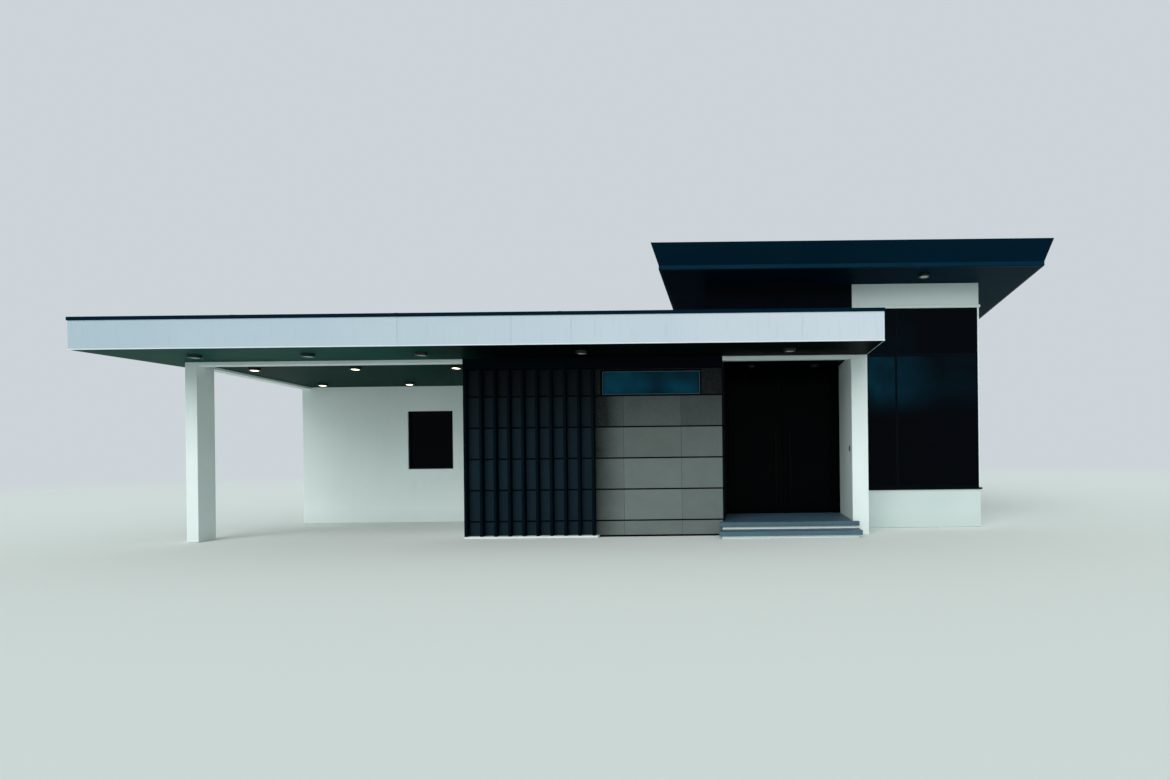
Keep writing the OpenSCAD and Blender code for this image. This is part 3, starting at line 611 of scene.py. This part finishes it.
aluminium, tree, shader, spot = new_finish("mill_finish_aluminium", 0.5, metallic=1.0)
clouds = mottle(tree, shader, spot, "#48636f", "#5f7c88", size_mm=4, detail=2)
vary_sheen(tree, shader, clouds, smooth=0.42, rough=0.62)
bead = bmesh.new()
rings = []
for inset, out in ((bead_in, -bead_back), (bead_in, bead_out), (bead_in + bead_w, bead_out),
        (bead_in + bead_w, -bead_back)):
    rings.append([bead.verts.new((x, strip_low.y - out, z)) for x, z in (
        (strip_low.x + inset, strip_low.z + inset), (strip_high.x - inset, strip_low.z + inset),
        (strip_high.x - inset, strip_high.z - inset), (strip_low.x + inset, strip_high.z - inset))])
skin(bead, rings, closed=True)
add_piece("strip_window_bead", bead, aluminium, arris=0.001)

# Sill flashing of the tall glazing: a black folded sheet over the plinth's sill, with a turned-down
# nose. A short return laps round the plinth's right end.
flash_t, nose_h, sill_d = 0.003, 0.030, 0.026
left_inset, return_d = 0.001, 0.06
plinth_low, plinth_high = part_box("wing_plinth")


def add_bar(shape, ends):
    """A bar between two outlines, closed at both."""
    skin(shape, ends)
    shape.faces.new(ends[0][::-1])
    shape.faces.new(ends[1])


sill_flashing = bmesh.new()
front, back = plinth_low.y, plinth_low.y + sill_d
top, nose = plinth_high.z, plinth_high.z - nose_h
outline = [(back, top), (front, top), (front, nose), (front - flash_t, nose - flash_t),
    (front - flash_t, top + flash_t), (back, top + 2 * flash_t)]
add_bar(sill_flashing, [[sill_flashing.verts.new((x, y, z)) for y, z in outline]
    for x in (plinth_low.x + left_inset, plinth_high.x + flash_t)])
add_box(sill_flashing, (plinth_high.x, front - flash_t, nose - flash_t),
    (plinth_high.x + flash_t, front + return_d, top + flash_t))
add_piece("wing_sill_flashing", sill_flashing, black_powder_coat, arris=0.001)

# Corner trim of the tall glazing: an aluminium angle in a white powder coat, fixed over the joint of
# the frame with the side wall.
angle_w, angle_t, angle_proud, angle_lap = 0.030, 0.004, 0.010, 0.03
glazing_low, glazing_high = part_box("wing_glazing_frame")
white_angle, tree, shader, spot = new_finish("powder_coated_aluminium_white", 0.42)
mottle(tree, shader, spot, "#ccd6da", "#dfe6e9", size_mm=300, detail=4)
corner = bmesh.new()
add_box(corner, (glazing_high.x - angle_w, glazing_low.y - angle_proud, glazing_low.z),
    (glazing_high.x + angle_t, glazing_low.y, glazing_high.z))
add_box(corner, (glazing_high.x, glazing_low.y - angle_proud, glazing_low.z),
    (glazing_high.x + angle_t, glazing_high.y + angle_lap, glazing_high.z))
add_piece("glazing_corner_trim", corner, white_angle, arris=0.0015)

# Entrance doors: flush leaves in a frame, sprayed in a gloss black, with pull bars in a satin coat. The
# gloss shows the floor before it, a little softened by wiping, and the bars' sheen varies in soft patches.
door_arris = 0.003
gloss_black, tree, shader, spot = new_finish("sprayed_gloss_black", 0.14, specular=0.02)
wiping = mottle(tree, shader, spot, "#010203", "#040607", size_mm=180, detail=6)
vary_sheen(tree, shader, wiping, smooth=0.10, rough=0.26)
cover(["left_door_leaf", "right_door_leaf", "door_frame"], gloss_black)

satin_black, tree, shader, spot = new_finish("powder_coated_steel_satin_black", 0.38, specular=0.05)
handling = mottle(tree, shader, spot, "#020303", "#040505", size_mm=120, detail=5)
vary_sheen(tree, shader, handling, smooth=0.28, rough=0.46)
cover(["left_door_pull", "right_door_pull"], satin_black)
ease_nodes(["left_door_leaf", "right_door_leaf", "left_door_pull", "right_door_pull"], door_arris)

# Fascia: long white painted cover boards on the canopy's edge, butted end to end. In front and behind,
# a folded drip angle shows as a brighter line along the bottom. Front seams count from the right end.
board_length, shortest = 3.86, 0.3
front_seams = [1.36, 5.22, 6.22, 8.12]
cover_t, cover_rise = 0.005, 0.004
cover_variation = 0.08
drip_h, drip_out, drip_down = 0.016, 0.003, 0.002
plinth_lap = 0.025
front_low, front_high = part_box("front_fascia")
rear_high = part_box("rear_fascia")[1]
house_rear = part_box("rear_wall")[1].y
painted_board, tree, shader, spot = new_finish("painted_fascia_board", 0.55)
across = [("From Min", front_low.x), ("From Max", front_high.x), ("To Min", -0.1), ("To Max", 0.7)]
two_tones(tree, shader, own_tones(tree, spot, across, size_mm=1100, detail=5, rough=0.5, share=0.25),
    "#a6b9c4", "#c8d0d9")
rain_streaks(tree, shader, spot, "#93a2a9", width_mm=45, squeeze=0.08, start=0.55, strength=0.18)
uneven_skin(tree, shader, spot, size_mm=8, detail=2, strength=0.15, depth=0.0006)
cover(["front_fascia", "side_fascias", "rear_fascia"], painted_board)

runs_of_fascia = [
    ((front_high.x, front_low.y), (front_low.x, front_low.y), (0, -1)),
    ((front_low.x, front_low.y), (front_low.x, rear_high.y), (-1, 0)),
    ((front_high.x, front_low.y), (front_high.x, plinth_low.y + plinth_lap), (1, 0)),
    ((front_low.x, rear_high.y), (rear_high.x, rear_high.y), (0, 1)),
    ((rear_high.x, rear_high.y), (rear_high.x, house_rear), (1, 0)),
]
cover_boards, drips = bmesh.new(), bmesh.new()
for start, end, out in runs_of_fascia:
    start, end, out = Vector(start), Vector(end), Vector(out)
    length = (end - start).length
    along = (end - start).normalized()
    lap = cover_t * abs(out.y)
    seams = [board_length * (i + 1) for i in range(int((length - shortest) / board_length))]
    stops = [0.0] + (front_seams if out.y < 0 else seams) + [length]
    for s0, s1 in zip(stops, stops[1:]):
        a = start + along * (s0 + joint / 2 if s0 else -lap)
        b = start + along * (s1 - joint / 2 if s1 < length else s1 + lap) + out * cover_t
        add_box(cover_boards, (min(a.x, b.x), min(a.y, b.y), front_low.z + cover_rise),
            (max(a.x, b.x), max(a.y, b.y), front_high.z),
            cover_variation * random.random() - cover_variation / 2)
    if out.y:
        a = start - along * (cover_t + drip_out)
        b = end + along * (cover_t + drip_out) + out * (cover_t + drip_out)
        add_box(drips, (min(a.x, b.x), min(a.y, b.y), front_low.z - drip_down),
            (max(a.x, b.x), max(a.y, b.y), front_low.z + drip_h))
add_piece("fascia_boards", cover_boards, painted_board, arris=0.0015)
add_piece("fascia_drip", drips, white_angle, arris=0.002)

# Metal work of both roofs: steel sheet, painted navy in the coil and folded on site. Long folds lie a
# little wavy, so broad reflections bend along them.
cap_arris, edge_arris = 0.004, 0.006
coil_paint, tree, shader, spot = new_finish("coil_painted_steel_navy", 0.36, specular=0.02)
mottle(tree, shader, spot, "#001623", "#001d2d", size_mm=1500, detail=4)
uneven_skin(tree, shader, spot, size_mm=420, detail=1, strength=0.3, depth=0.003)
cover(["fascia_cap", "upper_roof_edge"], coil_paint)
ease_nodes(["fascia_cap"], cap_arris)
ease_nodes(["upper_roof_edge"], edge_arris)

# Lip flashing of the upper roof: a folded strip round the foot of the raking boards, paler and tealer
# than the navy steel. It is mitred at the corners and follows the fall of the roof on both sides.
lip_h, lip_t, lip_lap, lip_tuck = 0.075, 0.004, 0.006, 0.002
rake_h, rake_out = 0.410, 0.138
edge_low, edge_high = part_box("upper_roof_edge")
lip_x0, lip_x1 = edge_low.x + rake_out, edge_high.x - rake_out
lip_y0, lip_y1 = edge_low.y + rake_out, edge_high.y - rake_out
lip_foot = edge_high.z - rake_h - lip_h
lip_fall = (lip_foot - edge_low.z) / (lip_y1 - lip_y0)
flashing = bmesh.new()
rings = []
for out, up in ((0, -lip_tuck), (lip_t, -lip_tuck), (lip_t, lip_h + lip_lap), (0, lip_h + lip_lap)):
    rings.append([flashing.verts.new((x, y, lip_foot - lip_fall * (y - lip_y0) + up)) for x, y in (
        (lip_x0 - out, lip_y0 - out), (lip_x1 + out, lip_y0 - out),
        (lip_x1 + out, lip_y1 + out), (lip_x0 - out, lip_y1 + out))])
skin(flashing, rings, closed=True)
lip_paint, tree, shader, spot = new_finish("coil_painted_steel_teal", 0.4, specular=0.03)
mottle(tree, shader, spot, "#022032", "#042b3f", size_mm=700, detail=4)
add_piece("lip_flashing", flashing, lip_paint, arris=0.0015)

# Joint straps of the fascia's cap: short plates of the same navy steel, laid over the butt joints of
# the folded metal on its top, in front and on the left.
strap_w, strap_t, strap_in, strap_d = 0.07, 0.0025, 0.002, 0.10
front_lengths, side_lengths = 5, 4
cap_low, cap_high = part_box("fascia_cap")
straps = bmesh.new()
for i in range(1, front_lengths):
    x = cap_low.x + i * (cap_high.x - cap_low.x) / front_lengths
    add_box(straps, (x, cap_low.y + strap_in, cap_high.z - strap_t),
        (x + strap_w, cap_low.y + strap_d, cap_high.z + strap_t))
for i in range(1, side_lengths):
    y = cap_low.y + i * (cap_high.y - cap_low.y) / side_lengths
    add_box(straps, (cap_low.x + strap_in, y, cap_high.z - strap_t),
        (cap_low.x + strap_d, y + strap_w, cap_high.z + strap_t))
add_piece("cap_straps", straps, coil_paint, arris=0.0015)

# Soffits: boards painted in dark semi-gloss, jointed every 1.22 by 2.44 m: green-black under the long
# canopy, a greyer green in the carport and navy under the upper roof. The canopy's green is partly a
# painted reflection of green surroundings. Painted shade darkens the canopy and the carport's ceiling
# towards the clad wall, and painted light makes the upper soffit paler and tealer towards its right end.
# The paint has a faint sheen.
soffit_pitches = (("X", 2.44), ("Y", 1.22))
soffit_joint = 0.004
shade_before, shade_beyond = 1.2, 0.9


def soffit_paint(name, dark, light, joint_colour, painted_shading, shading_from, shading_to):
    """Rolled semi-gloss on jointed boards: cloudy and stippled, with a painted shading in another tone that
    grows along X, full from the last given X on.
    """
    finish, tree, shader, spot = new_finish(name, 0.5, specular=0.012)
    mottle(tree, shader, spot, dark, light, size_mm=700, detail=5)
    place = add_node(tree, "ShaderNodeSeparateXYZ", (), [("Vector", spot)])
    painted_shading_mask = add_node(tree, "ShaderNodeMapRange", [("From Min", shading_from), ("From Max", shading_to),
        ("interpolation_type", "SMOOTHSTEP")], [("Value", place.outputs["X"])])
    lay_over(tree, shader, painted_shading_mask.outputs["Result"], painted_shading)
    lines = []
    for axis, pitch in soffit_pitches:
        ratio = add_node(tree, "ShaderNodeMath", [("operation", "DIVIDE"), (1, pitch)],
            [(0, place.outputs[axis])])
        share = add_node(tree, "ShaderNodeMath", [("operation", "FRACT")], [(0, ratio.outputs["Value"])])
        lines.append(add_node(tree, "ShaderNodeMath", [("operation", "LESS_THAN"),
            (1, soffit_joint / pitch)], [(0, share.outputs["Value"])]))
    jointed = add_node(tree, "ShaderNodeMath", [("operation", "MAXIMUM")],
        [(0, lines[0].outputs["Value"]), (1, lines[1].outputs["Value"])])
    lay_over(tree, shader, jointed.outputs["Value"], joint_colour)
    uneven_skin(tree, shader, spot, size_mm=25, detail=3, strength=0.12, depth=0.0008)
    return finish


# Painted shading laid over each soffit: shade over the clad wall and the carport's inner end, light over
# the wing.
shade_start = wall_low.x - shade_before
cover(["canopy_slab_front", "canopy_slab_rear"], soffit_paint("semi_gloss_green_black",
    "#01392f", "#044c42", "#03100e", "#020807", shade_start, wall_low.x + shade_beyond))
cover(["carport_ceiling"], soffit_paint("semi_gloss_green_grey",
    "#052620", "#0a362f", "#03100e", "#05221d", shade_start, wall_low.x))
cover(["upper_soffit"], soffit_paint("semi_gloss_navy",
    "#001222", "#021e2e", "#01080e", "#04242e", plinth_low.x, plinth_high.x))

# Roof decks: ribbed sheets in a grey coil paint. The ribs run with the fall, 406 mm apart, as on
# long-span sheet, and stop short of the edge boards and of the tall part's wall.
rib_pitch, rib_w, rib_h, rib_sunk = 0.406, 0.036, 0.028, 0.002
deck_t = 0.040
side_gap, wall_gap = 0.1, 0.02
grey_sheet, tree, shader, spot = new_finish("coil_painted_steel_grey", 0.45)
mottle(tree, shader, spot, "#515b61", "#69747a", size_mm=900, detail=6)
uneven_skin(tree, shader, spot, size_mm=300, detail=1, strength=0.25, depth=0.002)
cover(["low_roof_deck", "upper_roof_deck"], grey_sheet)


def add_ribs(name, deck, front_gap, rear_gap, wall_x=math.inf, wall_y=0.0):
    """Tapered ribs on a falling sheet; from wall_x on, they end before a wall whose face is at wall_y."""
    low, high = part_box(deck)
    fall = (high.z - low.z - deck_t) / (high.y - low.y)
    outline = [(-rib_w / 2, -rib_sunk), (rib_w / 2, -rib_sunk), (rib_w / 4, rib_h), (-rib_w / 4, rib_h)]
    ribs = bmesh.new()
    x = low.x + rib_pitch / 2
    while x < high.x - side_gap:
        end = high.y - rear_gap if x < wall_x - side_gap else wall_y - wall_gap
        add_bar(ribs, [[ribs.verts.new((x + dx, y, high.z - fall * (y - low.y) + dz))
            for dx, dz in outline] for y in (low.y + front_gap, end)])
        x += rib_pitch
    add_piece(name, ribs, grey_sheet)


tall_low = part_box("tall_front_wall")[0]
add_ribs("low_roof_ribs", "low_roof_deck", front_gap=0.05, rear_gap=0.06, wall_x=tall_low.x,
    wall_y=tall_low.y)
add_ribs("upper_roof_ribs", "upper_roof_deck", front_gap=0.08, rear_gap=0.08)

# Ceiling lights: round cans with a black spun collar and a low opal lens, square to their own ceiling.
# Those in the carport are lit; those under the roofs' edges aren't, but carry a faint painted glow, and
# the porch has smoked ones.
lens_radius, lens_rise = 0.077, 0.008
lens_rings, lens_corners, collar_corners = 6, 32, 48
collar_radius, collar_inside, collar_height, collar_slope = 0.110, 0.0855, 0.052, 0.010
fit_gap, lens_play = 0.0005, 0.002
lip_inner, lip_outer = 0.0008, 0.0004
facing_down = -0.9
rim_paint, tree, shader, spot = new_finish("powder_coated_steel_black", 0.4)
mottle(tree, shader, spot, "#0a0d0e", "#15191b", size_mm=5, detail=2)
cover(["ceiling_lights"], rim_paint)


def opal_acrylic(name, dark, light, glow):
    """Moulded acrylic: milky, with a faint stipple inside; glow is its light: full on a lit lamp, a faint
    painted glow on an unlit one, none on the porch's.
    """
    finish, tree, shader, spot = new_finish(name, 0.35, ior=1.49)
    mottle(tree, shader, spot, dark, light, size_mm=18, detail=2)
    shader.inputs["Emission Color"].default_value = to_linear("#fff3d6")
    shader.inputs["Emission Strength"].default_value = glow
    return finish


def turned_ring(shape, seat, radius, height, corners):
    """A ring of corners round a light's own axis, as if turned on a lathe."""
    angles = [2 * math.pi * i / corners for i in range(corners)]
    return [shape.verts.new(seat @ Vector((radius * math.cos(a), radius * math.sin(a), height)))
        for a in angles]


beam_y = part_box("carport_pier")[0].y
lenses_lit, lenses_unlit_painted_glow, lenses_smoked, collars = [bmesh.new() for _ in range(4)]
cans = joined_shape("ceiling_lights")
for can in islands(cans):
    down = [f for f in can if f.normal.z < facing_down]
    area = sum(f.calc_area() for f in down)
    axis = sum((f.calc_center_median() * f.calc_area() for f in down), Vector()) / area
    normal = sum((f.normal * f.calc_area() for f in down), Vector()).normalized()
    rim_height = max((f.calc_center_median() - axis).dot(normal) for f in down)
    turn = Vector((0, 0, 1)).rotation_difference(normal).to_matrix().to_4x4()
    seat = Matrix.Translation(axis + normal * (rim_height + fit_gap)) @ turn
    along = [v.co.dot(normal) for f in can for v in f.verts]
    if axis.y > beam_y and axis.x < wall_low.x:
        shape = lenses_lit
    elif axis.y > beam_y and axis.z < front_high.z:
        shape = lenses_smoked
    else:
        shape = lenses_unlit_painted_glow
    angles = [i / lens_rings * math.pi / 2 for i in range(lens_rings)]
    rings = [turned_ring(shape, seat, lens_radius * math.cos(a), lens_rise * math.sin(a), lens_corners)
        for a in angles]
    skin(shape, rings)
    crown = shape.verts.new(seat @ Vector((0, 0, lens_rise)))
    for i in range(lens_corners):
        shape.faces.new((rings[-1][i], rings[-1][(i + 1) % lens_corners], crown))
    ceiling = max(along) - min(along) - fit_gap
    rim = collar_height - ceiling
    profile = [(collar_inside, -ceiling), (collar_radius, -ceiling), (collar_radius, rim - collar_slope),
        (collar_radius - collar_slope, rim), (lens_radius + lens_play, rim),
        (lens_radius + lens_play, lip_inner), (collar_inside, lip_outer)]
    skin(collars, [turned_ring(collars, seat, radius, height, collar_corners)
        for radius, height in profile], closed=True)
cans.free()
add_piece("lenses_carport", lenses_lit, opal_acrylic("lit_opal_acrylic", "#c9cbc4", "#e6e6de", 6))
# Unlit lamps under the roofs' edges, with a faint painted glow.
add_piece("lenses_canopy", lenses_unlit_painted_glow, opal_acrylic("opal_acrylic", "#8b9ca4", "#a9bbc2", 0.06))
add_piece("lenses_porch", lenses_smoked, opal_acrylic("smoked_acrylic", "#1d1d1b", "#2b2b28", 0.0))
add_piece("light_collars", collars, rim_paint, arris=0.001)

# Model size: the box of the CAD nodes alone, and that of the dressed house.
low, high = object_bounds()
